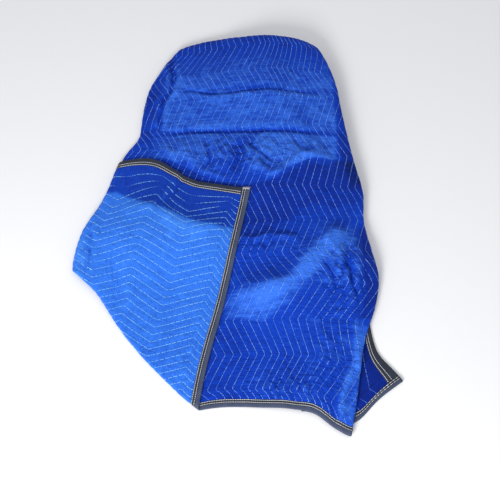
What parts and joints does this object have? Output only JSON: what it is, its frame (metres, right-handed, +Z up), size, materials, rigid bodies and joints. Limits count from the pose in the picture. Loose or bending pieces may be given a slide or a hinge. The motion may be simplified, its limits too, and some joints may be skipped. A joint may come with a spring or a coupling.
{
  "type": "folded moving blanket",
  "caption": "Blue quilted moving blanket with bound edges, laid on the floor with its sides and top folded under and a front corner turned over.",
  "frame": {"origin": "on the floor under the middle of the folded blanket's box", "axes": "+Z up, +Y along the folded blanket from its front hem to its far end, +X to the right as seen from the front hem"},
  "size_m": [1.0802, 1.5544, 0.0884],
  "materials": {
    "quilted_cloth": "matt woven cotton and polyester, sewn with pale zigzag lines",
    "binding_tape": "matt woven polyester tape"
  },
  "bodies": {
    "root": {"quilted_panel": "quilted_cloth", "binding_hem": "binding_tape", "binding_left": "binding_tape", "binding_right": "binding_tape", "binding_top": "binding_tape"}
  },
  "joints": []
}
